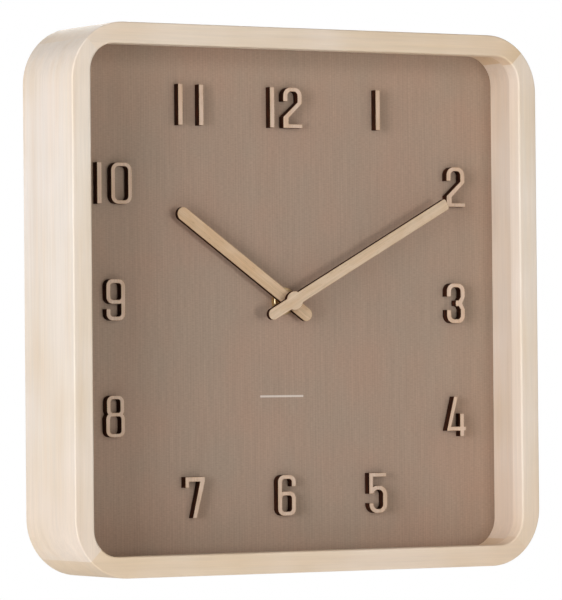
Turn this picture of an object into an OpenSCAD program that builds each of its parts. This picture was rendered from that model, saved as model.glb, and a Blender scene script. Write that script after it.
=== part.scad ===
// Square wooden wall clock with a recessed dial, applied numerals and a quartz movement.
// Millimetres. +Z up, the dial faces -Y, the wall plane is Y = 0.
// Origin: centre of the hanger's keyhole entry, on the wall plane.

/* [Case] */
// outside width and height of the square case
side = 300; // [280:1:320]
// depth of the case from wall to front face
case_depth = 56; // [50:1:62]
// radius of the outer corners
corner_r = 32; // [24:1:40]
// width of the flat front face of the rim
rim_w = 11.7; // [10:0.1:14]
// depth of the front lip before the inner wall steps back
lip_depth = 9.5; // [6:0.5:14]
// step back of the inner wall behind the lip
lip_step = 2; // [1:0.25:3]
// depth of the dial face behind the front of the rim
dial_depth = 31.5; // [27:0.5:34]

/* [Dial] */
// thickness of the fibreboard dial
board_t = 3.5; // [3:0.5:4]
// thickness of the facing sheet on the dial
face_t = 0.5; // [0.3:0.1:0.8]
// height of the numerals
numeral_h = 22.6; // [20:0.2:24]
// thickness of the sheet the numerals are cut from
numeral_t = 4.5; // [3:0.5:5]
// distance of the top and bottom rows from the hand axis
row_y = 108.5; // [104:0.5:112]
// distance of the left and right columns from the hand axis
col_x = 111.2; // [106:0.5:114]
// sideways offset of the numerals beside 12 and 6
row_step = 60.5; // [56:0.5:64]
// upward offset of the numerals beside 3 and 9
col_step = 64.6; // [60:0.5:68]
// share of the small hand-gluing errors in the numerals' places
hand_set = 1; // [0:0.25:1]

/* [Hands] */
// reach of the hour hand from the axis to its round end
hour_reach = 86.6; // [80:0.2:92]
// reach of the minute hand from the axis to its blunt end
minute_reach = 115.7; // [108:0.2:120]
// width of the hour hand
hour_w = 7.5; // [6:0.1:9]
// width of the minute hand
minute_w = 6.5; // [6:0.1:8]
// thickness of both hands
hand_t = 2.5; // [2:0.1:3]
// minutes past ten shown at rest
rest_minutes = 10.25; // [0:0.05:59.95]

/* [Movement] */
// width and height of the movement case
case_w = 56; // [54:1:58]
// thickness of the movement case
case_t = 16.5; // [16:0.5:17]
// outer radius of the threaded bush
bush_r = 4; // [3.5:0.1:4.5]

/* [Render] */
// which piece to show

/* [Hidden] */
$fn = 48;
half = side / 2;
hang_height = 129;                       // keyhole entry above the hand axis
edge_r = 0.8;                              // round-over of the outer front edge
lip_r = 1;                               // round-over of the inner front edge
lip_half = half - rim_w;
lip_corner = 15;
wall_half = lip_half + lip_step;
wall_corner = lip_corner + lip_step;
ledge = 3.2;                             // step that the dial rests against
rabbet_half = wall_half + ledge;
rabbet_corner = 25;
board_gap = 0.3;
hole_play = 0.3;
dial_f = case_depth - dial_depth;        // dial face, measured forward from the wall
board_f = dial_f - face_t - board_t;     // back of the dial board
fit = 0.05;                              // radial running clearance
over = 1;                                // how far a cutter runs past a face
skin = 0.01;                             // least step between faces that must not coincide

// movement stack, measured forward from the wall
gasket_t = 1;
gasket_r = 9;
mov_front = board_f - gasket_t;
mov_back = mov_front - case_t;
mov_wall = 1.5;
mov_in_front = mov_front - mov_wall;
mov_in_back = mov_back + mov_wall;
hour_back = dial_f + 4.6;
hands_gap = 3;
hour_front = hour_back + hand_t;
minute_back = hour_front + hands_gap;
minute_front = minute_back + hand_t;
minute_turn = 6 * rest_minutes;
hour_turn = 30 * (10 + rest_minutes / 60);

// gear train: number of teeth and centre distances
rotor_teeth = 10;
inter_teeth = 60;
inter_pinion_teeth = 10;
seconds_teeth = 50;
seconds_pinion_teeth = 8;
third_teeth = 60;
third_pinion_teeth = 8;
centre_teeth = 64;
cannon_teeth = 12;
motion_teeth = 36;
motion_pinion_teeth = 10;
hour_teeth = 40;
rotor_gap = 7;
inter_gap = 7.5;
third_gap = 7.14;
motion_gap = 6;
inter_dir = 60;
third_dir = 150;
motion_dir = -30;
knob_dir = -10;
function polar(r, a) = [r * cos(a), r * sin(a)];
function pair_module(gap, a, b) = 2 * gap / (a + b);
inter_at = polar(inter_gap, inter_dir);
rotor_at = inter_at + polar(rotor_gap, inter_dir);
third_at = polar(third_gap, third_dir);
motion_at = polar(motion_gap, motion_dir);
knob_at = motion_at + polar(motion_gap, knob_dir);
arbor_r = 0.5;
cell_r = 7.25;
cell_y = -19;
cell_f = mov_back + 7.5;
pale = [0.88, 0.81, 0.71];
ply = [0.78, 0.68, 0.57];
taupe = [0.60, 0.51, 0.46];
brass_c = [0.80, 0.65, 0.36];
steel_c = [0.72, 0.72, 0.72];
black_c = [0.10, 0.10, 0.11];
white_c = [0.90, 0.90, 0.87];

// ---------- placement ----------
// Children are drawn facing the reader: X right, Y up from the hand axis, Z forward from the wall.
module clock() { translate([0, 0, -hang_height]) rotate([90, 0, 0]) children(); }
module slab(f0, f1) { translate([0, 0, f0]) linear_extrude(f1 - f0) children(); }
module at(p) { translate([p[0], p[1], 0]) children(); }
module drum(r, f0, f1) { translate([0, 0, f0]) cylinder(r = r, h = f1 - f0); }
module tube(r_out, r_in, f0, f1) {
  difference() { drum(r_out, f0, f1); drum(r_in, f0 - over, f1 + over); }
}

// ---------- flat shapes ----------
module rounded(w, h, r) {
  square([w - 2 * r, h], center = true);
  square([w, h - 2 * r], center = true);
  for (sx = [-1, 1], sy = [-1, 1]) translate([sx * (w / 2 - r), sy * (h / 2 - r)]) circle(r);
}
module box2(x0, y0, x1, y1) { translate([x0, y0]) square([x1 - x0, y1 - y0]); }
// rounded rectangle given by its limits
module pill2(x0, y0, x1, y1, r) {
  translate([(x0 + x1) / 2, (y0 + y1) / 2]) rounded(x1 - x0, y1 - y0, r);
}
module gear2(teeth, mod, phase) {
  pitch = 360 / teeth;
  r_tip = mod * (teeth / 2 + 0.75);
  r_root = mod * (teeth / 2 - 1.05);
  root_half = 0.28 * pitch;
  tip_half = 0.10 * pitch;
  tooth = [[r_root, -root_half], [r_tip, -tip_half], [r_tip, tip_half], [r_root, root_half]];
  polygon([for (i = [0 : teeth - 1], e = tooth) polar(e[0], phase + i * pitch + e[1])]);
}
module gear(teeth, mod, phase, f0, f1) { slab(f0, f1) gear2(teeth, mod, phase); }

// ---------- wooden case ----------
// arc of flats from angle a0 to a1, used for the small round-overs
function arc_points(c, r, a0, a1, flats) =
  [for (i = [0 : flats]) c + polar(r, a0 + (a1 - a0) * i / flats)];
// section of the rim: X outward from the corner centre, Y forward
module rim_section() {
  polygon(concat([[0, 0], [corner_r, 0]],
    arc_points([corner_r - edge_r, case_depth - edge_r], edge_r, 0, 90, 5), [[0, case_depth]]));
}
// what the round-over removes from the inner front edge
module lip_section() {
  polygon(concat([[-over, -lip_r]], arc_points([lip_r, -lip_r], lip_r, 180, 90, 4),
    [[lip_r, over], [-over, over]]));
}
module along_x(length) {
  rotate([90, 0, 90]) translate([0, 0, -length / 2]) linear_extrude(length) children();
}
module corner_nail2() {
  leg = 3.2;
  nail_t = 0.6;
  inset = 10.4;
  tip = half - inset;
  box2(tip - leg, tip - nail_t, tip, tip);
  box2(tip - nail_t, tip - leg, tip, tip);
}
point_x = 92;
point_t = 0.8;
point_half = 3;
point_bite = 4;                          // how far a point is driven into the rail
module point2(reach_in) { box2(-point_half, rabbet_half - reach_in, point_half, rabbet_half + point_bite); }
nail_depth = 7;
module rail_top() {
  centre = half - corner_r;
  lip_centre = lip_half - lip_corner;
  difference() {
    union() {
      translate([0, centre, 0]) along_x(2 * centre) rim_section();
      translate([centre, centre, 0]) rotate([0, 0, 45]) rotate_extrude(angle = 45) rim_section();
      translate([-centre, centre, 0]) rotate([0, 0, 90]) rotate_extrude(angle = 45) rim_section();
    }
    slab(-over, dial_f) rounded(2 * rabbet_half, 2 * rabbet_half, rabbet_corner);
    slab(dial_f - over, case_depth - lip_depth) rounded(2 * wall_half, 2 * wall_half, wall_corner);
    slab(case_depth - lip_depth - over, case_depth + over) rounded(2 * lip_half, 2 * lip_half, lip_corner);
    translate([0, lip_half, case_depth]) along_x(2 * lip_centre) lip_section();
    for (side_x = [-1, 1]) translate([side_x * lip_centre, lip_centre, 0])
      rotate([0, 0, side_x > 0 ? 45 : 90]) rotate_extrude(angle = 45)
        translate([lip_corner, case_depth]) lip_section();
    for (m = [0, 1]) mirror([m, 0, 0]) slab(-over, nail_depth) corner_nail2();
    for (x = [-point_x, point_x]) translate([x, 0, 0])
      slab(board_f - point_t, board_f) point2(over);
  }
}
module rail(turn) { clock() rotate([0, 0, turn]) rail_top(); }
module frame_rail_top() { color(pale) rail(0); }
module frame_rail_right() { color(pale) rail(-90); }
module frame_rail_bottom() { color(pale) rail(180); }
module frame_rail_left() { color(pale) rail(90); }
module corner_nails() {
  color(steel_c) clock() for (a = [0, 90, 180, 270]) rotate([0, 0, a]) slab(0, nail_depth) corner_nail2();
}
module dial_blank(f0, f1) {
  size = 2 * (rabbet_half - board_gap);
  slab(f0, f1) difference() { rounded(size, size, rabbet_corner - board_gap); circle(bush_r + hole_play); }
}
module dial_board() { color([0.55, 0.43, 0.32]) clock() dial_blank(board_f, dial_f - face_t); }
module dial_face() { color(taupe) clock() dial_blank(dial_f - face_t, dial_f); }
module retaining_points() {
  hold = 8;
  color(steel_c) clock() for (a = [0, 90, 180, 270], x = [-point_x, point_x]) rotate([0, 0, a])
    translate([x, 0, 0]) slab(board_f - point_t, board_f) point2(hold);
}

// ---------- hanger ----------
plate_t = 1.5;
plate_w = 44;
plate_low = hang_height - 6;
plate_high = hang_height + 12;
plate_mid = (plate_low + plate_high) / 2;
entry_r = 4.5;
slot_r = 2.1;
slot_rise = 7.5;
batten_t = 15;
batten_half = 50;
batten_h = 22;
pocket_half = 7;                         // room for a nail's head behind the plate
pocket_t = 9;
screw_x = 16;
screw_len = 12;
screw_r = 1.5;
head_r = 3;
module at_screws() { for (x = [-screw_x, screw_x]) translate([x, plate_mid, 0]) children(); }
module hanging_batten() {
  color([0.80, 0.70, 0.52]) clock() difference() {
    slab(0, batten_t) box2(-batten_half, rabbet_half - batten_h, batten_half, rabbet_half);
    slab(-over, plate_t) box2(-plate_w / 2, plate_low, plate_w / 2, plate_high);
    slab(0, pocket_t)
      pill2(-pocket_half, hang_height - entry_r - 1, pocket_half, hang_height + slot_rise + 4, 3);
    at_screws() drum(screw_r, 0, screw_len);
  }
}
module keyhole_plate() {
  color(steel_c) clock() difference() {
    slab(0, plate_t) pill2(-plate_w / 2, plate_low, plate_w / 2, plate_high, 1);
    slab(-over, plate_t + over) {
      translate([0, hang_height]) circle(entry_r);
      box2(-slot_r, hang_height, slot_r, hang_height + slot_rise);
      translate([0, hang_height + slot_rise]) circle(slot_r);
    }
    at_screws() translate([0, 0, -skin]) cylinder(r1 = head_r, r2 = screw_r, h = plate_t + 2 * skin);
  }
}
module hanger_screws() {
  drive = [3, 0.7];
  color(steel_c) clock() at_screws() difference() {
    union() {
      cylinder(r1 = head_r - 2 * skin, r2 = screw_r, h = plate_t);
      drum(screw_r, plate_t, screw_len);
    }
    slab(-over, drive[1]) for (a = [0, 90]) rotate(a) square(drive, center = true);
  }
}

// ---------- numerals ----------
gh = numeral_h / 2;
sv = 2.85;                               // width of the upright strokes
sh = 2.2;                                // width of the level strokes
module stem() { square([sv, numeral_h], center = true); }
// closed loop with upright strokes v wide and level strokes h wide
module ring(x0, y0, x1, y1, r, v = sv, h = sh) {
  least_r = 1.4;
  difference() {
    pill2(x0, y0, x1, y1, r);
    pill2(x0 + v, y0 + h, x1 - v, y1 - h, max(r - h, least_r));
  }
}
// the part of a numeral inside the given boxes, each [x0, y0, x1, y1]
module only(boxes) { intersection() { children(); union() for (b = boxes) box2(b[0], b[1], b[2], b[3]); } }
module glyph(n) {
  if (n == 0) ring(-6.5, -gh, 6.5, gh, 4.4, 2.4, 2);
  if (n == 1) stem();
  if (n == 2) {
    only([[-7, gh - 5, 7, gh], [0, 2.4, 7, gh]]) ring(-6.1, gh - 16, 6.1, gh, 4.6);
    box2(-6.1, gh - 7.8, -6.1 + sv, gh - 4.9);
    polygon([[6.1 - sv, 3.1], [-6.1, -5.2], [-6.1, -gh + 1], [-2.6, -gh + 1], [-2.6, -5.7], [6.1, 2.5]]);
    box2(-6.1, -gh, 6.4, -gh + sh);
  }
  if (n == 3) {
    for (m = [0, 1]) mirror([0, m]) {
      only([[-7, gh - 5, 7, gh], [0, 3.4, 7, gh]]) ring(-6.1, gh - 16, 6.1, gh, 4.4);
      box2(-6.1, 3.8, -6.1 + sv, gh - 4.8);
      polygon([[6.1 - sv, 3.5], [1.9, 1.6], [0, 1.6], [-0.2, -0.01], [4.3, -0.01], [6.1, 3.5]]);
    }
  }
  if (n == 4) {
    polygon([[6.5, -8.1], [6.5, -5.8], [-3.6, -5.8], [1.1, gh], [-1.5, gh], [-6.5, -8.1]]);
    box2(2.5, -gh, 5.1, 1.6);
  }
  if (n == 5) {
    box2(-6, gh - sh, 5.4, gh);
    box2(-6, -0.4, -6 + 2.6, gh);
    only([[0, -gh, 7, 5], [-7, -0.2, 1, 5], [-7, -gh, 1, -5.7]]) ring(-6, -gh, 6, 4, 5);
  }
  if (n == 6) {
    only([[-6, -gh, 0, gh], [-1, 4.9, 6, gh]]) ring(-5.85, -gh, 5.85, gh, 3.9, 2.7);
    ring(-5.85, -gh, 5.85, 2.1, 3.9, 2.7);
    box2(-5.85, -7, -5.85 + 2.7, 6);
  }
  if (n == 7) {
    box2(-6.2, gh - 2.6, 6.2, gh);
    box2(-6.2, gh - 5.9, -6.2 + 2.4, gh);
    polygon([[3.1, gh - 2.7], [-1.6, -gh], [0.9, -gh], [6.2, gh - 2.6], [6.2, gh - 0.1]]);
  }
  if (n == 8) {
    ring(-5.4, 0, 5.4, gh, 3.4, 2.4, 1.9);
    ring(-5.9, -gh, 5.9, 2, 3.6, 2.4, 1.9);
  }
  if (n == 9) {
    only([[0, -gh, 6, gh], [-6, -gh, 1, -5]]) ring(-5.85, -gh, 5.85, gh, 3.8, 2.5);
    ring(-5.85, -2.2, 5.85, gh, 3.8, 2.5);
    box2(5.85 - 2.5, -6, 5.85, 7);
  }
}
// p is the regular place, drift how far the glued numeral sits off it
module numeral(p, drift) {
  color(ply) clock() at(p + hand_set * drift) slab(dial_f, dial_f + numeral_t) children();
}
module numeral_1() { numeral([row_step, row_y], [0.2, -0.8]) glyph(1); }
module numeral_2() { numeral([col_x, col_step], [1.5, 0.4]) glyph(2); }
module numeral_3() { numeral([col_x, 0], [1, -1.2]) glyph(3); }
module numeral_4() { numeral([col_x, -col_step], [0.6, -1]) glyph(4); }
module numeral_5() { numeral([row_step, -row_y], [-1.8, 0.5]) glyph(5); }
module numeral_6() { numeral([0, -row_y], [-1.4, 0.4]) glyph(6); }
module numeral_7() { numeral([-row_step, -row_y], [0.2, 0.4]) glyph(7); }
module numeral_8() { numeral([-col_x, -col_step], [1.3, 1.6]) glyph(8); }
module numeral_9() { numeral([-col_x, 0], [2, 0.5]) glyph(9); }
module numeral_10() {
  numeral([-col_x, col_step], [1.8, -0.5]) { at([-9.4, 0]) glyph(1); at([4.4, 0]) glyph(0); }
}
module numeral_11() {
  numeral([-row_step, row_y], [-0.5, -0.5]) for (x = [-6.6, 6.6]) at([x, 0]) glyph(1);
}
module numeral_12() {
  numeral([0, row_y], [0.3, -0.8]) { at([-9.1, 0]) glyph(1); at([4.2, 0]) glyph(2); }
}

// ---------- hands ----------
boss_r = 5.3;
hour_tail = 16.9;
minute_tail = 18.8;
hour_tube_r = 2.5;
minute_pipe_r = 1.5;
hour_flange_r = 4;
hour_neck_r = 3.4;
minute_flange_r = 3.6;
minute_neck_r = 2.8;
hour_tube_end = hour_front - 0.3;
hour_neck_end = hour_back + 1.6;
minute_neck_end = minute_back + 1.6;
module hour_hand() {
  color(ply) clock() rotate([0, 0, -hour_turn]) difference() {
    slab(hour_back, hour_front) {
      pill2(-hour_w / 2, -hour_tail, hour_w / 2, hour_reach, hour_w / 2 - 0.01);
      circle(boss_r);
    }
    drum(hour_neck_r, hour_back - over, hour_neck_end);
    drum(hour_tube_r + 0.05, hour_back, hour_front + over);
  }
}
module hour_collet() {
  color(brass_c) clock() difference() {
    union() { drum(hour_flange_r, hour_back - 1.4, hour_back); drum(hour_neck_r, hour_back, hour_neck_end); }
    drum(hour_tube_r, hour_back - 3, hour_neck_end + over);
  }
}
module minute_hand() {
  tip_r = 1.5;
  color(ply) clock() rotate([0, 0, -minute_turn]) difference() {
    slab(minute_back, minute_front) {
      box2(-minute_w / 2, 0, minute_w / 2, minute_reach - tip_r);
      pill2(-minute_w / 2, minute_reach - 3 * tip_r, minute_w / 2, minute_reach, tip_r);
      pill2(-minute_w / 2, -minute_tail, minute_w / 2, boss_r, minute_w / 2 - 0.01);
      circle(boss_r);
    }
    drum(minute_neck_r, minute_back - over, minute_neck_end);
  }
}
module minute_collet() {
  color(brass_c) clock() difference() {
    union() {
      drum(minute_flange_r, minute_back - 1, minute_back);
      drum(minute_neck_r, minute_back, minute_neck_end);
    }
    drum(minute_pipe_r, minute_back - 3, minute_neck_end - 0.2);
  }
}

// ---------- dial fixing ----------
bush_end = dial_f + 3;
flange_r = 5.2;
washer_t = 0.4;
washer_r = 7.6;
nut_t = 2.2;
nut_r = 7.2;
module bush_body() {
  drum(bush_r, mov_in_front, mov_front);
  drum(flange_r, mov_in_front + 0.4, mov_in_front + 1.1);
}
module threaded_bush() {
  pitch = 1;
  groove = 0.35;
  start = mov_front;
  turns = floor((bush_end - start) / pitch);
  color(brass_c) clock() difference() {
    union() {
      bush_body();
      rotate_extrude() polygon(concat([[0, start - 0.2], [bush_r, start - 0.2], [bush_r, start]],
        [for (i = [0 : turns - 1], e = [0, 1])
          [bush_r - groove * (1 - e), start + (i + 0.25 + e / 2) * pitch]],
        [[bush_r - groove, bush_end], [0, bush_end]]));
    }
    drum(hour_tube_r + fit, mov_in_front - over, bush_end + over);
  }
}
module rubber_gasket() { color(black_c) clock() tube(gasket_r, bush_r + 0.1, mov_front, board_f); }
module dial_washer() { color(brass_c) clock() tube(washer_r, bush_r + 0.1, dial_f, dial_f + washer_t); }
module round_nut() {
  low = dial_f + washer_t;
  bevel = 0.3;
  color(brass_c) clock() difference() {
    rotate_extrude() polygon([[bush_r + fit, low], [nut_r, low], [nut_r, low + nut_t - bevel],
      [nut_r - bevel, low + nut_t], [bush_r + fit, low + nut_t]]);
    for (a = [0, 90]) rotate([0, 0, a + 20]) slab(low + nut_t - 0.8, low + nut_t + over)
      square([2 * nut_r + 2, 1.4], center = true);
  }
}

// ---------- movement case ----------
divider_y = -10.9;
divider_t = 1.1;
arbor_back = mov_back + 2.1;
inner_w = case_w - 2 * mov_wall;
plate_back = mov_back + 9;               // back of the middle plate
middle_t = 0.8;
arbor_front = plate_back + 0.6;
post_spots = [[-11.5, -6.5], [-11.5, 13], [14, 13], [15, -7.2]];
stud_r = 0.55;
knob_r = 0.9;
module movement_case() {
  color(black_c) clock() difference() {
    union() {
      difference() {
        slab(mov_back, mov_front) rounded(case_w, case_w, 3);
        slab(mov_back - over, mov_in_front) rounded(inner_w, inner_w, 1.5);
      }
      slab(mov_back, mov_in_front + 0.1)
        box2(-inner_w / 2 - 0.1, divider_y, inner_w / 2 + 0.1, divider_y + divider_t);
      for (p = post_spots) at(p) drum(1.2, plate_back + middle_t, mov_in_front + 0.1);
      at(motion_at) drum(stud_r, plate_back + 2.7, mov_in_front + 0.1);
    }
    drum(bush_r, mov_in_front - over, mov_front + over);
    drum(flange_r, mov_in_front + 0.4, mov_in_front + 1.1);
    // finger notches beside the cell
    for (s = [-1, 1]) translate([s * 12, -case_w / 2, mov_back]) rotate([90, 0, 0])
      translate([0, 0, -2 * mov_wall]) cylinder(r = 5, h = 4 * mov_wall);
  }
}
module movement_cover() {
  gap = 0.1;
  low = divider_y + divider_t + gap;
  high = inner_w / 2 - gap;
  color(black_c) clock() difference() {
    union() {
      slab(mov_back, mov_in_back) pill2(-inner_w / 2 + gap, low, inner_w / 2 - gap, high, 1.2);
      for (p = [[0, 0], inter_at, rotor_at, third_at]) at(p) drum(1.3, mov_in_back - 0.1, mov_back + 3);
      at(knob_at) drum(2.2, mov_in_back - 0.1, mov_back + 3);
      for (y = [-3, 21]) at([-19.5, y]) drum(1.2, mov_in_back - 0.1, mov_back + 4);
    }
    for (p = [[0, 0], inter_at, rotor_at, third_at]) at(p) drum(arbor_r + fit, mov_back + 2, mov_back + 4);
    at(knob_at) drum(knob_r + fit, mov_back - over, mov_back + 4);
  }
}
module middle_plate() {
  color(white_c) clock() slab(plate_back, plate_back + middle_t) difference() {
    pill2(-13.5, -8.8, 17, 15.9, 2);
    for (p = [[0, 0], inter_at, rotor_at, third_at]) translate(p) circle(arbor_r + fit);
    translate(knob_at) circle(knob_r + fit);
  }
}

// ---------- motor ----------
core_y = 21.5;
core_f = mov_back + 6.5;
lamination = 0.8;
coil_x = 5;
coil_len = 22;
module stator() {
  color([0.62, 0.64, 0.66]) clock() slab(core_f, core_f + lamination) difference() {
    union() {
      pill2(-10, 8.5, 20, 16.6, 1);
      box2(-10, 15, -7, 23);
      box2(17, 15, 20, 23);
      box2(-10, core_y - 1.5, 20, core_y + 1.5);
    }
    translate(rotor_at) circle(3.6);
    for (s = [-1, 1]) translate(rotor_at + [s * 2.6, s * 2.6]) circle(0.5);
  }
}
module coil_section(w, h) { translate([core_y, core_f + lamination / 2]) square([w, h], center = true); }
module coil_bobbin() {
  color([0.85, 0.83, 0.78]) clock() translate([coil_x, 0, 0]) difference() {
    union() {
      along_x(coil_len) coil_section(4.6, 2.6);
      for (s = [-1, 1]) translate([s * (coil_len / 2 - 0.5), 0, 0]) along_x(1) coil_section(7.4, 7.2);
    }
    along_x(coil_len + 2) coil_section(3.05, lamination + 0.05);
  }
}
module coil_winding() {
  color([0.72, 0.38, 0.20]) clock() translate([coil_x, 0, 0]) difference() {
    along_x(coil_len - 2) translate([core_y, core_f + lamination / 2]) rounded(6.6, 6.4, 1.8);
    along_x(coil_len) coil_section(4.6, 2.6);
  }
}
module rotor_magnet() {
  color([0.35, 0.35, 0.37]) clock() at(rotor_at) tube(3, arbor_r, mov_back + 5.3, mov_back + 8);
}
module rotor_pinion() {
  color(white_c) clock() at(rotor_at) {
    drum(arbor_r, arbor_back, arbor_front);
    gear(rotor_teeth, pair_module(rotor_gap, rotor_teeth, inter_teeth), inter_dir + 180,
      mov_back + 3.3, mov_back + 4.7);
    drum(1.4, mov_back + 4.7, mov_back + 5.3);
  }
}

// ---------- going train ----------
module wheel(teeth, mod, phase, f0, f1) {
  r = mod * teeth / 2;
  difference() {
    gear(teeth, mod, phase, f0, f1);
    for (a = [0 : 72 : 359]) rotate(a) translate([r * 0.58, 0, 0]) drum(r * 0.2, f0 - over, f1 + over);
  }
}
module intermediate_wheel() {
  color(white_c) clock() at(inter_at) {
    drum(arbor_r, arbor_back, arbor_front);
    wheel(inter_teeth, pair_module(rotor_gap, rotor_teeth, inter_teeth), inter_dir + 180 / inter_teeth,
      mov_back + 3.7, mov_back + 4.3);
    gear(inter_pinion_teeth, pair_module(inter_gap, inter_pinion_teeth, seconds_teeth), inter_dir + 180,
      mov_back + 4.3, mov_back + 6.2);
  }
}
module seconds_wheel() {
  color(white_c) clock() {
    drum(arbor_r, arbor_back, arbor_front);
    wheel(seconds_teeth, pair_module(inter_gap, inter_pinion_teeth, seconds_teeth),
      inter_dir + 180 / seconds_teeth, mov_back + 5.4, mov_back + 6);
    gear(seconds_pinion_teeth, pair_module(third_gap, seconds_pinion_teeth, third_teeth), third_dir,
      mov_back + 6, mov_back + 8.7);
  }
}
module third_wheel() {
  color(white_c) clock() at(third_at) {
    drum(arbor_r, arbor_back, mov_back + 11.6);
    wheel(third_teeth, pair_module(third_gap, seconds_pinion_teeth, third_teeth),
      third_dir + 180 + 180 / third_teeth, mov_back + 7.7, mov_back + 8.3);
    gear(third_pinion_teeth, pair_module(third_gap, third_pinion_teeth, centre_teeth), third_dir + 180,
      mov_back + 10, mov_back + 11.4);
  }
}
centre_bore = 1.03;
module centre_wheel() {
  color(white_c) clock() difference() {
    union() {
      wheel(centre_teeth, pair_module(third_gap, third_pinion_teeth, centre_teeth),
        third_dir + 180 / centre_teeth, mov_back + 10.4, mov_back + 11);
      drum(2, mov_back + 10.2, mov_back + 11.2);
    }
    drum(centre_bore, mov_back + 9, mov_back + 12);
  }
}

// ---------- motion work and setting ----------
motion_mod = pair_module(motion_gap, cannon_teeth, motion_teeth);
hour_mod = pair_module(motion_gap, motion_pinion_teeth, hour_teeth);
motion_phase = motion_dir + 180 + 180 / motion_teeth;
// the knob's pinion sits where the motion wheel's teeth happen to fall
knob_lag = (motion_phase - knob_dir) * motion_teeth / cannon_teeth;
module minute_arbor() {
  color(brass_c) clock() {
    drum(1, mov_back + 9.95, mov_back + 11.7);
    gear(cannon_teeth, motion_mod, motion_dir, mov_back + 11.7, mov_back + 12.9);
    drum(minute_pipe_r, mov_back + 12.9, minute_neck_end - 0.4);
  }
}
module motion_wheel() {
  color(white_c) clock() at(motion_at) difference() {
    union() {
      gear(motion_teeth, motion_mod, motion_phase, mov_back + 12, mov_back + 12.6);
      gear(motion_pinion_teeth, hour_mod, motion_dir + 180, mov_back + 12.6, mov_back + 14.5);
    }
    drum(stud_r + fit, mov_back + 11, mov_back + 15);
  }
}
module hour_wheel() {
  color(white_c) clock() difference() {
    union() {
      gear(hour_teeth, hour_mod, motion_dir + 180 / hour_teeth, mov_back + 13.5, mov_back + 14.2);
      drum(hour_tube_r, mov_back + 13.4, hour_tube_end);
    }
    drum(minute_pipe_r + fit, mov_back + 12, hour_tube_end + over);
  }
}
module set_knob() {
  knob_out = mov_back - 2.2;
  color(white_c) clock() at(knob_at) {
    slab(knob_out, mov_back - 0.1) difference() {
      circle(4.5);
      for (a = [0 : 20 : 359]) rotate(a) translate([4.8, 0]) circle(0.6);
    }
    drum(knob_r, mov_back - 0.1, mov_back + 11.8);
    gear(cannon_teeth, motion_mod, knob_dir + 180 + knob_lag + 180 / cannon_teeth,
      mov_back + 11.8, mov_back + 12.9);
  }
}

// ---------- electrics ----------
board_at = mov_back + 4;
module circuit_board() {
  color([0.12, 0.36, 0.20]) clock() slab(board_at, board_at + 0.8) difference() {
    pill2(-25.8, -7, -13.3, 25, 0.6);
    for (y = [-5, 23]) translate([-24, y]) circle(0.7);
  }
}
module quartz_crystal() {
  color(steel_c) clock() translate([-22.5, 9, board_at + 1.85]) rotate([-90, 0, 0]) cylinder(r = 1, h = 6.2);
}
module control_chip() { color(black_c) clock() at([-19, 1]) drum(2.8, board_at + 0.8, board_at + 2); }
contact_t = 0.4;
cell_back = -24.4;
cell_shoulder = 24.9;
cell_tip = 26;
module contact_blade(x) {
  slab(cell_f - 4.5, cell_f + 4.5) box2(x, cell_y - 5, x + contact_t, cell_y + 5);
}
module contact_positive() { color(steel_c) clock() contact_blade(inner_w / 2 - contact_t); }
module contact_negative() {
  x = -inner_w / 2;
  bow = cell_back - 0.1;
  color(steel_c) clock() {
    contact_blade(x);
    translate([0, cell_y + 2, 0]) rotate([90, 0, 0]) linear_extrude(4)
      polygon([[x + 0.2, cell_f - 4.4], [x + 0.2, cell_f - 3.8], [bow - contact_t, cell_f],
        [x + 0.2, cell_f + 3.8], [x + 0.2, cell_f + 4.4], [bow, cell_f + 0.3], [bow, cell_f - 0.3]]);
  }
}
module battery() {
  color([0.75, 0.62, 0.30]) clock() translate([0, cell_y, cell_f]) rotate([0, 90, 0]) {
    translate([0, 0, cell_back]) cylinder(r = cell_r, h = cell_shoulder - cell_back);
    translate([0, 0, cell_shoulder]) cylinder(r = 2.75, h = cell_tip - cell_shoulder);
  }
}

frame_rail_top();
frame_rail_right();
frame_rail_bottom();
frame_rail_left();
corner_nails();
dial_board();
dial_face();
retaining_points();
hanging_batten();
keyhole_plate();
hanger_screws();
numeral_1();
numeral_2();
numeral_3();
numeral_4();
numeral_5();
numeral_6();
numeral_7();
numeral_8();
numeral_9();
numeral_10();
numeral_11();
numeral_12();
hour_hand();
hour_collet();
minute_hand();
minute_collet();
threaded_bush();
rubber_gasket();
dial_washer();
round_nut();
movement_case();
movement_cover();
middle_plate();
stator();
coil_bobbin();
coil_winding();
rotor_magnet();
rotor_pinion();
intermediate_wheel();
seconds_wheel();
third_wheel();
centre_wheel();
minute_arbor();
motion_wheel();
hour_wheel();
set_knob();
circuit_board();
quartz_crystal();
control_chip();
contact_positive();
contact_negative();
battery();
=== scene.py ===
"""Looks for the square wooden wall clock: camera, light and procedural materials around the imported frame."""

import math

import bpy
from mathutils import Matrix, Vector

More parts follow.
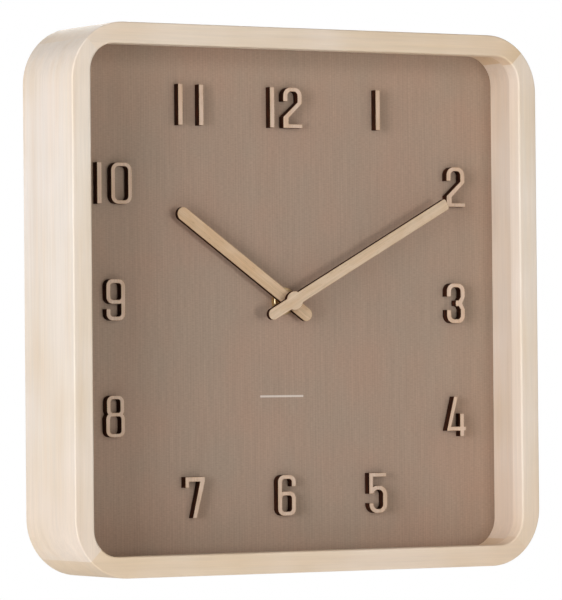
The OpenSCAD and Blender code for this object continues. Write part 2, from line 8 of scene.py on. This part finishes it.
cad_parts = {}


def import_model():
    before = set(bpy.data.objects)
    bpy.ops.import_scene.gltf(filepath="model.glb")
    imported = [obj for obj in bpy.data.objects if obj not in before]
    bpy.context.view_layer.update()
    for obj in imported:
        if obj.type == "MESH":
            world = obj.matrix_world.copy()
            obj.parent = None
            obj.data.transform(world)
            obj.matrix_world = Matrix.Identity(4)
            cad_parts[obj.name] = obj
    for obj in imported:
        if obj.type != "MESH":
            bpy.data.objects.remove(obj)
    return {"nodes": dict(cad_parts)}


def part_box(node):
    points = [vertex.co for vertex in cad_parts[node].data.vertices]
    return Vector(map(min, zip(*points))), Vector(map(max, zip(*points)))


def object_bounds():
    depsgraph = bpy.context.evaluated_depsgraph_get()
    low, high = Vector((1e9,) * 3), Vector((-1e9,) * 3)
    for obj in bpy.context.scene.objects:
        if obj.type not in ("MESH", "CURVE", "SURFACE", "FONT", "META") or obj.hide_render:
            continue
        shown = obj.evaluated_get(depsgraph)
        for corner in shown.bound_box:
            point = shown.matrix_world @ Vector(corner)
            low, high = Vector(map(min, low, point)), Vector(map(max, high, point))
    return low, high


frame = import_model()
cad_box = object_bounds()
nodes = frame["nodes"]
scene = bpy.context.scene
scene.view_settings.view_transform = "Standard"

# ---------- where things are ----------
case_low, case_high = cad_box
axis_z = (case_low.z + case_high.z) / 2
CENTRE = Vector((0, 0, axis_z))     # the middle of the clock, on the wall plane
UP, RIGHT, BACK = (0, 0, 1), (1, 0, 0), (0, 1, 0)


# ---------- node helpers ----------
def srgb(r, g, b):
    """Linear colour from an 8-bit display colour."""
    def lin(v):
        v /= 255
        return v / 12.92 if v <= 0.04045 else ((v + 0.055) / 1.055) ** 2.4
    return (lin(r), lin(g), lin(b), 1.0)


MIX_COLOUR_A, MIX_COLOUR_B, MIX_COLOUR_OUT = 6, 7, 2     # a Mix node's colour sockets share names with others


class Graph:
    """A material's node tree with short calls for the nodes used here."""

    def __init__(self, name):
        self.material = bpy.data.materials.new(name)
        self.material.use_nodes = True
        self.tree = self.material.node_tree
        self.tree.nodes.clear()
        self.out = self.add("ShaderNodeOutputMaterial")
        self.shader = self.add("ShaderNodeBsdfPrincipled")
        self.link(self.shader.outputs[0], self.out.inputs[0])
        self.point = self.add("ShaderNodeTexCoord").outputs["Object"]
        self.normal = self.add("ShaderNodeNewGeometry").outputs["Normal"]

    def add(self, kind, **props):
        node = self.tree.nodes.new(kind)
        for key, value in props.items():
            setattr(node, key, value)
        return node

    def link(self, a, b):
        self.tree.links.new(a, b)

    def put(self, socket, value):
        if hasattr(value, "is_output"):
            self.link(value, socket)
        elif isinstance(value, tuple):
            socket.default_value = value[:len(socket.default_value)]
        else:
            socket.default_value = value

    def math(self, op, a, b=0.0, c=0.0, clamp=False):
        """One Math node; c is used by MULTIPLY_ADD only."""
        node = self.add("ShaderNodeMath", operation=op, use_clamp=clamp)
        for socket, value in zip(node.inputs, (a, b, c)):
            self.put(socket, value)
        return node.outputs[0]

    def vec(self, op, a, b=(0, 0, 0)):
        node = self.add("ShaderNodeVectorMath", operation=op)
        self.put(node.inputs[0], a)
        self.put(node.inputs[1], b)
        return node.outputs["Value" if op in ("DOT_PRODUCT", "LENGTH") else "Vector"]

    def split(self, vector):
        node = self.add("ShaderNodeSeparateXYZ")
        self.put(node.inputs[0], vector)
        return node.outputs

    def join(self, x, y, z):
        node = self.add("ShaderNodeCombineXYZ")
        for socket, value in zip(node.inputs, (x, y, z)):
            self.put(socket, value)
        return node.outputs[0]

    def noise(self, vector, scale, detail=3.0, roughness=0.55, distortion=0.0):
        node = self.add("ShaderNodeTexNoise")
        for name, value in (("Vector", vector), ("Scale", scale), ("Detail", detail),
                            ("Roughness", roughness), ("Distortion", distortion)):
            self.put(node.inputs[name], value)
        return node.outputs["Fac"]

    def remap(self, value, low, high, to_low=0.0, to_high=1.0):
        node = self.add("ShaderNodeMapRange", clamp=True)
        for socket, v in zip(node.inputs, (value, low, high, to_low, to_high)):
            self.put(socket, v)
        return node.outputs[0]

    def mix(self, share, a, b):
        node = self.add("ShaderNodeMix", data_type="RGBA")
        self.put(node.inputs["Factor"], share)
        self.put(node.inputs[MIX_COLOUR_A], a)
        self.put(node.inputs[MIX_COLOUR_B], b)
        return node.outputs[MIX_COLOUR_OUT]

    def shade(self, colour, value, amount):
        """colour made lighter or darker by value, which is centred on one half."""
        gain = self.math("MULTIPLY_ADD", self.math("SUBTRACT", value, 0.5), amount, 1.0)
        return self.vec("MULTIPLY", colour, self.join(gain, gain, gain))

    def bump(self, height, distance, strength):
        node = self.add("ShaderNodeBump")
        node.inputs["Strength"].default_value = strength
        node.inputs["Distance"].default_value = distance
        self.link(height, node.inputs["Height"])
        self.link(node.outputs[0], self.shader.inputs["Normal"])

    def set(self, **values):
        names = {"colour": "Base Color", "rough": "Roughness", "metal": "Metallic",
                 "specular": "Specular IOR Level"}
        for key, value in values.items():
            self.put(self.shader.inputs[names[key]], value)

    def from_centre(self):
        return self.vec("SUBTRACT", self.point, tuple(CENTRE))

    def along(self, direction, side):
        """The point in metres, as (distance along direction, along side, along the third axis)."""
        a, s = Vector(direction).normalized(), Vector(side).normalized()
        third = a.cross(s)
        p = self.from_centre()
        return self.join(*(self.vec("DOT_PRODUCT", p, tuple(v)) for v in (a, s, third)))

    def recess_shade_mask(self):
        """One on the case wall behind the lip, where painted shade goes; nothing on the outer faces."""
        outward = self.vec("DOT_PRODUCT", self.normal, self.vec("NORMALIZE", self.from_centre()))
        facing_in = self.math("LESS_THAN", outward, -0.2)      # clear of the front and back faces
        behind = self.math("GREATER_THAN", self.split(self.point)[1], LIP_BACK)
        return self.math("MULTIPLY", behind, facing_in)

    def margin(self, width):
        """One on the very edge of a flat face, nothing further in than the width."""
        round_over = self.add("ShaderNodeBevel", samples=6)
        round_over.inputs["Radius"].default_value = width
        flatness = self.vec("DOT_PRODUCT", round_over.outputs[0], self.normal)
        return self.remap(flatness, 0.99, 0.8)

    def on(self, *names):
        for name in names:
            data = nodes[name].data
            data.materials.clear()
            data.materials.append(self.material)
        return self


def grain(g, space, along, across, seed, detail, roughness, distortion=0.0):
    """Noise drawn out along the timber. along and across are cycles per metre.

    The seed picks the stretch of timber, so that no two pieces look alike."""
    moved = g.vec("ADD", space, (seed, seed * 0.7, seed * 1.3))
    return g.noise(g.vec("MULTIPLY", moved, (along, across, across)), 1.0, detail, roughness, distortion)


# ---------- wood ----------
LIP_BACK = case_low.y + 0.0095      # the inner wall is set back behind this depth
CORNER_START, CORNER_FULL = 0.165, 0.19      # distance from the hand axis where the corners grow warmer
RECESS_SHADE_TINT = (0.80, 0.76, 0.74)      # painted shade: what the case wall behind the lip keeps of each channel, at half strength
RAIL_HALF = 0.15
PALE, HONEY, ROSY = srgb(239, 225, 207), srgb(226, 196, 158), srgb(242, 221, 202)


def basswood(name, direction, side, seed, honey):
    """Pale, fine and even timber: soft lengthwise bands, short fibres, warm clouds, warmer corners and painted
    shade on the case wall behind the lip.

    honey is the share of the warm tone at the low and at the high end of the rail."""
    g = Graph(name)
    space = g.along(direction, side)
    bands = grain(g, space, along=2.2, across=60, seed=seed, detail=4, roughness=0.6, distortion=0.4)
    fibres = grain(g, space, along=14, across=520, seed=seed + 3, detail=4, roughness=0.62)
    hairs = grain(g, space, along=40, across=2200, seed=seed + 5, detail=2, roughness=0.5)
    clouds = g.noise(g.vec("ADD", space, (seed, seed, seed)), 13, 2, 0.5)
    along = g.remap(g.split(space)[0], -RAIL_HALF, RAIL_HALF, honey[0], honey[1])
    warm = g.math("ADD", along, g.remap(clouds, 0.3, 0.7, -0.22, 0.22))
    in_plane = g.vec("MULTIPLY", g.from_centre(), (1, 0, 1))
    corner = g.remap(g.vec("LENGTH", in_plane), CORNER_START, CORNER_FULL, 0.0, 0.3)
    warm = g.math("ADD", warm, corner, clamp=True)
    streaks = grain(g, space, along=9, across=170, seed=seed + 8, detail=3, roughness=0.6)
    colour = g.mix(warm, PALE, HONEY)
    colour = g.mix(g.remap(streaks, 0.45, 0.72, 0.0, 0.34), colour, HONEY)
    colour = g.mix(g.remap(clouds, 0.56, 0.3, 0.0, 0.4), colour, ROSY)
    colour = g.shade(colour, bands, 0.2)
    colour = g.shade(colour, fibres, 0.18)
    colour = g.shade(colour, hairs, 0.1)
    # painted shade: the case wall behind the lip is darkened, at half strength
    recess_shade = g.recess_shade_mask()
    colour = g.mix(g.math("MULTIPLY", recess_shade, 0.5), colour, g.vec("MULTIPLY", colour, RECESS_SHADE_TINT))
    g.set(colour=colour, rough=g.remap(fibres, 0.3, 0.7, 0.5, 0.62), specular=0.22)
    g.bump(g.math("ADD", g.math("MULTIPLY", fibres, 0.7), g.math("MULTIPLY", hairs, 0.3)), 0.00012, 0.5)
    return g


basswood("basswood_top", RIGHT, BACK, 0.31, (0.25, 0.65)).on("frame_rail_top")
basswood("basswood_bottom", RIGHT, BACK, 2.17, (0.4, 1.0)).on("frame_rail_bottom")
basswood("basswood_left", UP, BACK, 1.43, (0.35, 0.0)).on("frame_rail_left")
basswood("basswood_right", UP, BACK, 3.71, (0.5, 0.1)).on("frame_rail_right")


# laser-cut wood: open pores, the browned margin of the face, and two tones for the scorched sides, darker than
# the scorch alone as painted shade
PORE, BROWNED = srgb(148, 116, 88), srgb(150, 108, 74)
# real scorch with painted shade: these side tones are darker than the scorch itself
CHAR_AND_SHADE, BURNT_AND_SHADE = srgb(26, 9, 2), srgb(60, 27, 10)
BROWNED_WIDTH = 0.0006


def scorched_ply(name, direction, seed, tone):
    """Bare light wood with a lengthwise grain on the face, a browned margin and scorched laser-cut sides,
    darkened further as painted shade.
    """
    g = Graph(name)
    across = Vector(direction).cross(Vector(BACK))
    space = g.along(direction, across)
    bands = grain(g, space, along=12, across=800, seed=seed, detail=3, roughness=0.65, distortion=0.3)
    blotches = grain(g, space, along=60, across=160, seed=seed + 4, detail=2, roughness=0.5)
    fibres = grain(g, space, along=60, across=2600, seed=seed + 2, detail=3, roughness=0.6)
    pores = grain(g, space, along=220, across=2400, seed=seed + 7, detail=2, roughness=0.5)
    face = g.mix(g.remap(blotches, 0.35, 0.7), tone, g.vec("MULTIPLY", tone, (0.93, 0.86, 0.78)))
    face = g.shade(g.shade(face, bands, 0.45), fibres, 0.2)
    face = g.mix(g.remap(pores, 0.62, 0.74, 0.0, 0.45), face, PORE)
    face = g.mix(g.margin(BROWNED_WIDTH), face, BROWNED)
    ply = g.noise(g.vec("MULTIPLY", g.point, (180, 1400, 180)), 1.0, 2, 0.5)
    # the sides: real laser scorch, made darker still as painted shade
    side_scorch_and_shade = g.mix(g.remap(ply, 0.35, 0.65), CHAR_AND_SHADE, BURNT_AND_SHADE)
    side_on, face_on = 0.55, 0.85
    flat = g.remap(g.math("ABSOLUTE", g.split(g.normal)[1]), side_on, face_on)
    g.set(colour=g.mix(flat, side_scorch_and_shade, face), rough=g.remap(fibres, 0.3, 0.7, 0.55, 0.7), specular=0.1)
    g.bump(fibres, 0.00006, 0.5)
    return g


NUMERAL_WOOD = srgb(215, 189, 166)
for hour in range(1, 13):
    scorched_ply(f"numeral_wood_{hour}", UP, hour * 0.37, NUMERAL_WOOD).on(f"numeral_{hour}")


def hand_direction(name):
    """The way a hand points at rest, from its own box."""
    low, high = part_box(name)
    tip_x = low.x if abs(low.x) > abs(high.x) else high.x
    return Vector((tip_x, 0, high.z - axis_z)).normalized()


scorched_ply("hour_hand_wood", hand_direction("hour_hand"), 5.3, srgb(214, 184, 150)).on("hour_hand")
scorched_ply("minute_hand_wood", hand_direction("minute_hand"), 8.9, srgb(216, 190, 160)).on("minute_hand")


def softwood(name):
    """Sawn softwood with broad darker growth rings."""
    g = Graph(name)
    space = g.along(RIGHT, BACK)
    rings = grain(g, space, along=3, across=130, seed=4.0, detail=3, roughness=0.6, distortion=0.6)
    fibres = grain(g, space, along=30, across=1500, seed=6.0, detail=3, roughness=0.6)
    colour = g.mix(g.remap(rings, 0.4, 0.68), srgb(222, 190, 144), srgb(186, 140, 88))
    g.set(colour=g.shade(colour, fibres, 0.18), rough=0.62, specular=0.3)
    g.bump(fibres, 0.00015, 0.6)
    return g


softwood("batten_softwood").on("hanging_batten")


def fibreboard(name):
    """Felted brown board, matt and even."""
    g = Graph(name)
    felt = g.noise(g.point, 900, 5, 0.7)
    clumps = g.noise(g.point, 120, 3, 0.6)
    colour = g.shade(g.shade(srgb(158, 124, 92), clumps, 0.3), felt, 0.5)
    g.set(colour=colour, rough=0.85, specular=0.2)
    g.bump(felt, 0.0001, 0.6)
    return g


fibreboard("raw_fibreboard").on("dial_board")


# ---------- dial ----------
def dial_sheet(name):
    """Taupe facing with a fine upright rib, a finer cross thread and one small plain bar printed on it."""
    g = Graph(name)
    x, _, z = g.split(g.from_centre())
    rib_pitch = 0.00158
    wander = g.noise(g.vec("MULTIPLY", g.point, (90, 1, 9)), 1.0, 2, 0.5)
    phase = g.math("MULTIPLY_ADD", wander, 1.6, g.math("DIVIDE", x, rib_pitch))
    rib = g.math("MULTIPLY_ADD", g.math("SINE", g.math("MULTIPLY", phase, 2 * math.pi)), 0.5, 0.5)
    uneven = g.noise(g.vec("MULTIPLY", g.point, (700, 1, 26)), 1.0, 3, 0.6)
    thread = g.noise(g.vec("MULTIPLY", g.point, (420, 1, 1900)), 1.0, 2, 0.5)
    mottle = g.noise(g.point, 24, 3, 0.5)
    colour = g.mix(g.remap(mottle, 0.35, 0.65), srgb(168, 141, 120), srgb(163, 141, 121))
    blush = g.noise(g.vec("MULTIPLY", g.point, (60, 1, 22)), 1.0, 2, 0.5)
    colour = g.mix(g.remap(blush, 0.35, 0.68), colour, g.vec("MULTIPLY", colour, (1.015, 0.99, 0.98)))
    colour = g.shade(colour, rib, 0.06)
    colour = g.shade(colour, uneven, 0.3)
    colour = g.shade(colour, thread, 0.4)
    bar_length, bar_height, bar_x, bar_z = 0.028, 0.0011, -0.0015, -0.053
    in_x = g.math("LESS_THAN", g.math("ABSOLUTE", g.math("SUBTRACT", x, bar_x)), bar_length / 2)
    in_z = g.math("LESS_THAN", g.math("ABSOLUTE", g.math("SUBTRACT", z, bar_z)), bar_height / 2)
    front = g.math("LESS_THAN", g.split(g.normal)[1], -0.5)
    printed = g.math("MULTIPLY", g.math("MULTIPLY", in_x, in_z), front)
    colour = g.mix(g.math("MULTIPLY", printed, 0.8), colour, srgb(226, 212, 198))
    g.set(colour=colour, rough=g.remap(uneven, 0.3, 0.7, 0.62, 0.74), specular=0.3)
    g.bump(g.math("ADD", g.math("MULTIPLY", rib, 0.6), g.math("MULTIPLY", thread, 0.4)), 0.00004, 0.6)
    return g


dial_sheet("taupe_facing").on("dial_face")


# ---------- metals ----------
def brushed(name, tone, rough, brush, depth=0.00002, tarnish=None):
    """Metal with directional scratches; brush is the stretch of the scratches along X, Y and Z."""
    g = Graph(name)
    scratches = g.noise(g.vec("MULTIPLY", g.point, brush), 1.0, 3, 0.6)
    stain = g.noise(g.point, 160, 3, 0.6)
    colour = g.shade(tone, scratches, 0.2)
    if tarnish:
        colour = g.mix(g.remap(stain, 0.45, 0.75, 0.0, 0.6), colour, tarnish)
    g.set(colour=colour, metal=1.0, rough=g.remap(scratches, 0.3, 0.7, rough - 0.06, rough + 0.08))
    g.bump(scratches, depth, 0.4)
    return g


def turned(name, tone, rough):
    """Metal turned on a lathe about the hand axis."""
    g = Graph(name)
    x, y, z = g.split(g.from_centre())
    radius = g.math("SQRT", g.math("ADD", g.math("MULTIPLY", x, x), g.math("MULTIPLY", z, z)))
    rings = g.noise(g.join(radius, y, 0.0), 5200, 2, 0.5)
    stain = g.noise(g.point, 190, 3, 0.6)
    colour = g.mix(g.remap(stain, 0.4, 0.75, 0.0, 0.5), tone, g.shade(tone, stain, 0.5))
    g.set(colour=colour, metal=1.0, rough=g.remap(rings, 0.3, 0.7, rough - 0.05, rough + 0.07))
    g.bump(rings, 0.00001, 0.4)
    return g


STEEL = srgb(196, 197, 199)
BRASS = srgb(206, 182, 138)
brushed("zinc_plate", STEEL, 0.34, (900, 900, 60), tarnish=srgb(150, 152, 150)).on("keyhole_plate")
brushed("wire_nails", STEEL, 0.4, (700, 60, 700)).on("corner_nails", "retaining_points")
turned("screw_steel", STEEL, 0.3).on("hanger_screws")
brushed("stator_iron", srgb(150, 153, 156), 0.42, (60, 900, 900), tarnish=srgb(112, 104, 96)).on("stator")
brushed("rotor_ferrite", srgb(86, 88, 92), 0.5, (800, 800, 800)).on("rotor_magnet")
brushed("contact_nickel", srgb(208, 205, 198), 0.2, (900, 60, 60), tarnish=srgb(170, 160, 140)).on(
    "contact_positive", "contact_negative")
brushed("crystal_can", srgb(205, 206, 208), 0.22, (60, 900, 900)).on("quartz_crystal")
turned("turned_brass", BRASS, 0.36).on(
    "round_nut", "threaded_bush", "dial_washer", "hour_collet", "minute_collet", "minute_arbor")


# ---------- plastics and rubber ----------
def moulded(name, tone, rough, grain=2600, depth=0.00002, specular=0.45):
    """Injection moulded plastic with a fine spark-eroded surface and faint flow marks."""
    g = Graph(name)
    pits = g.noise(g.point, grain, 3, 0.6)
    flow = g.noise(g.vec("MULTIPLY", g.point, (30, 30, 110)), 1.0, 3, 0.5, 0.8)
    colour = g.shade(g.shade(tone, flow, 0.12), pits, 0.08)
    g.set(colour=colour, rough=g.remap(pits, 0.3, 0.7, rough - 0.05, rough + 0.08), specular=specular)
    g.bump(pits, depth, 0.5)
    return g


moulded("black_moulding", srgb(38, 38, 40), 0.5).on("movement_case", "movement_cover")
moulded("gasket_rubber", srgb(30, 30, 31), 0.72, 1800).on("rubber_gasket")
moulded("acetal", srgb(232, 229, 220), 0.36, 3000, 0.00001).on(
    "middle_plate", "rotor_pinion", "intermediate_wheel", "seconds_wheel", "third_wheel", "centre_wheel",
    "motion_wheel", "hour_wheel", "set_knob")
moulded("bobbin_nylon", srgb(216, 209, 190), 0.42).on("coil_bobbin")
moulded("epoxy_blob", srgb(24, 24, 26), 0.22, 900, 0.00003, 0.6).on("control_chip")
moulded("solder_mask", srgb(28, 96, 58), 0.3, 1500, 0.00002, 0.6).on("circuit_board")


def winding(name):
    """Enamelled copper laid turn by turn round the bobbin."""
    g = Graph(name)
    x = g.split(g.point)[0]
    wire = 0.00022
    turns = g.math("SINE", g.math("MULTIPLY", x, 2 * math.pi / wire))
    sheen = g.noise(g.vec("MULTIPLY", g.point, (2400, 120, 120)), 1.0, 2, 0.5)
    colour = g.shade(g.mix(g.remap(turns, -1, 1), srgb(150, 78, 40), srgb(206, 120, 66)), sheen, 0.3)
    g.set(colour=colour, metal=0.85, rough=0.32)
    g.bump(turns, 0.00006, 0.5)
    return g


winding("copper_winding").on("coil_winding")


def cell_jacket(name):
    """A plain dry cell: printed jacket with one light band, bare steel at both ends."""
    g = Graph(name)
    low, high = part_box("battery")
    share = g.remap(g.split(g.point)[0], low.x, high.x)
    band_at, band_half, end_facing = 0.72, 0.06, 0.7
    band = g.math("LESS_THAN", g.math("ABSOLUTE", g.math("SUBTRACT", share, band_at)), band_half)
    scuff = g.noise(g.vec("MULTIPLY", g.point, (60, 500, 500)), 1.0, 3, 0.6)
    colour = g.mix(band, srgb(52, 92, 110), srgb(214, 220, 222))
    ends = g.math("GREATER_THAN", g.math("ABSOLUTE", g.split(g.normal)[0]), end_facing)
    colour = g.mix(ends, g.shade(colour, scuff, 0.16), STEEL)
    g.set(colour=colour, metal=ends, rough=g.remap(scuff, 0.3, 0.7, 0.28, 0.4), specular=0.5)
    g.bump(scuff, 0.00001, 0.3)
    return g


cell_jacket("dry_cell").on("battery")


# ---------- surroundings ----------
def floor(size, z):
    """A plain pale plane well below the clock, which hangs on a wall."""
    half = size / 2
    mesh = bpy.data.meshes.new("floor")
    corners = [(-half, -half, z), (half, -half, z), (half, half, z), (-half, half, z)]
    mesh.from_pydata(corners, [], [(0, 1, 2, 3)])
    obj = bpy.data.objects.new("floor", mesh)
    scene.collection.objects.link(obj)
    g = Graph("pale_floor")
    g.set(colour=g.shade(srgb(240, 240, 240), g.noise(g.point, 3, 3, 0.5), 0.02), rough=0.9, specular=0.1)
    mesh.materials.append(g.material)


FLOOR_DROP = 0.62
floor(size=7.0, z=case_low.z - FLOOR_DROP)


def world(lighting, backdrop):
    """Even studio light all round; the backdrop is what shows behind the object."""
    made = bpy.data.worlds.new("studio")
    made.use_nodes = True
    tree = made.node_tree
    tree.nodes.clear()
    out = tree.nodes.new("ShaderNodeOutputWorld")
    mix = tree.nodes.new("ShaderNodeMixShader")
    path = tree.nodes.new("ShaderNodeLightPath")
    for slot, strength in ((1, lighting), (2, backdrop)):
        back = tree.nodes.new("ShaderNodeBackground")
        back.inputs["Color"].default_value = (1, 1, 1, 1)
        back.inputs["Strength"].default_value = strength
        tree.links.new(back.outputs[0], mix.inputs[slot])
    tree.links.new(path.outputs["Is Camera Ray"], mix.inputs[0])
    tree.links.new(mix.outputs[0], out.inputs[0])
    scene.world = made


world(lighting=0.05, backdrop=1.0)


def softbox(name, azimuth, elevation, distance, size, power, colour=(1, 1, 1)):
    """An area light aimed at the middle of the clock. Azimuth 0 is in front, positive to the right."""
    light = bpy.data.lights.new(name, "AREA")
    light.shape = "DISK"
    light.size = size
    light.energy = power
    light.color = colour
    obj = bpy.data.objects.new(name, light)
    scene.collection.objects.link(obj)
    a, e = math.radians(azimuth), math.radians(elevation)
    way = Vector((math.sin(a) * math.cos(e), -math.cos(a) * math.cos(e), math.sin(e)))
    obj.location = CENTRE + way * distance
    obj.rotation_mode = "QUATERNION"
    obj.rotation_quaternion = way.to_track_quat("Z", "Y")
    return obj


COOL = (0.95, 1.0, 1.11)     # the left lights are a little bluer
softbox("key", azimuth=8, elevation=-3, distance=3.0, size=0.9, power=18.5)
softbox("key_high", azimuth=-10, elevation=16, distance=3.0, size=0.9, power=11)
softbox("fill_right", azimuth=38, elevation=12, distance=3.0, size=0.9, power=6)
softbox("fill_left", azimuth=-68, elevation=2, distance=2.4, size=1.3, power=36.5, colour=COOL)
softbox("fill_high", azimuth=-80, elevation=32, distance=1.9, size=1.2, power=7, colour=COOL)
softbox("back_light", azimuth=150, elevation=22, distance=3.0, size=2.2, power=80)


# ---------- camera ----------
def camera(azimuth, elevation, roll, distance, focal, aside, lift):
    """A long lens on the line from the point where the hand axis meets the wall."""
    a, e, t = (math.radians(v) for v in (azimuth, elevation, roll))
    back = Vector((math.sin(a) * math.cos(e), -math.cos(a) * math.cos(e), math.sin(e)))
    level = (-back).cross(Vector(UP)).normalized()
    upright = level.cross(-back).normalized()
    right = level * math.cos(t) + upright * math.sin(t)
    top = upright * math.cos(t) - level * math.sin(t)
    data = bpy.data.cameras.new("camera")
    data.lens = focal
    data.sensor_width = 36
    data.clip_start, data.clip_end = 0.05, 60
    obj = bpy.data.objects.new("camera", data)
    scene.collection.objects.link(obj)
    obj.location = CENTRE + back * distance + right * aside + top * lift
    obj.rotation_mode = "QUATERNION"
    obj.rotation_quaternion = Matrix((right, top, back)).transposed().to_quaternion()
    scene.camera = obj


camera(azimuth=-31.15, elevation=-0.99, roll=-0.516, distance=2.5591, focal=273.13, aside=0.0114, lift=0.0011)
